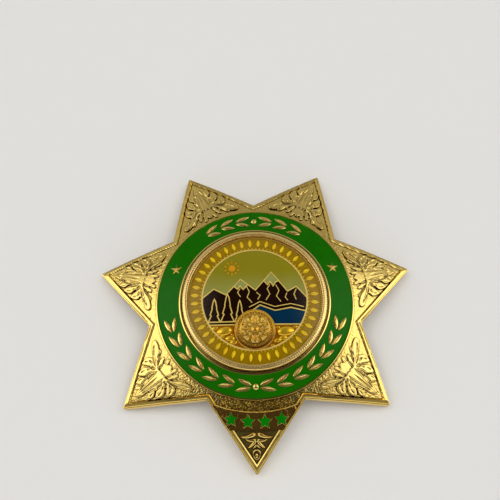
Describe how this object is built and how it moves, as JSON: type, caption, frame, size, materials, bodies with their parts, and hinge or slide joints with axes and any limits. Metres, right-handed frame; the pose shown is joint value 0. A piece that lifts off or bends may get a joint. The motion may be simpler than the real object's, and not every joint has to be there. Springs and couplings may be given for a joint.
{
  "type": "seven-point star police badge",
  "caption": "Domed gold star badge with scrolled points, a green enamel ring, an enamelled seal under clear resin and a pin on its back.",
  "frame": {"origin": "centre of the footprint, on the surface the badge lies on", "axes": "+Z out of the badge's face, +Y towards the top of the badge, +X to the right as the badge is read"},
  "size_m": [0.0736, 0.0718, 0.0087],
  "materials": {
    "gold_plate": "gold plated, stippled in the fields and polished on the rims",
    "green_enamel": "glossy leaf green enamel",
    "seal_gold": "polished gold plate",
    "amber_enamel": "translucent amber enamel",
    "sky_enamel": "olive enamel",
    "dark_enamel": "brown-black enamel",
    "sage_enamel": "pale sage enamel",
    "blue_enamel": "deep blue enamel",
    "clear_resin": "clear resin with an amber tint",
    "pin_metal": "satin gold plate"
  },
  "bodies": {
    "root": {"star_plate": "gold_plate", "ring_enamel": "green_enamel", "point_enamel_1": "green_enamel", "point_enamel_2": "green_enamel", "point_enamel_3": "green_enamel", "point_enamel_4": "green_enamel", "seal_disc": "seal_gold", "band_enamel": "amber_enamel", "sky_enamel": "sky_enamel", "hill_enamel": "dark_enamel", "snow_enamel": "sage_enamel", "lake_enamel": "blue_enamel", "meadow_enamel": "amber_enamel", "resin_dome": "clear_resin", "back_pin": "pin_metal"}
  },
  "joints": []
}
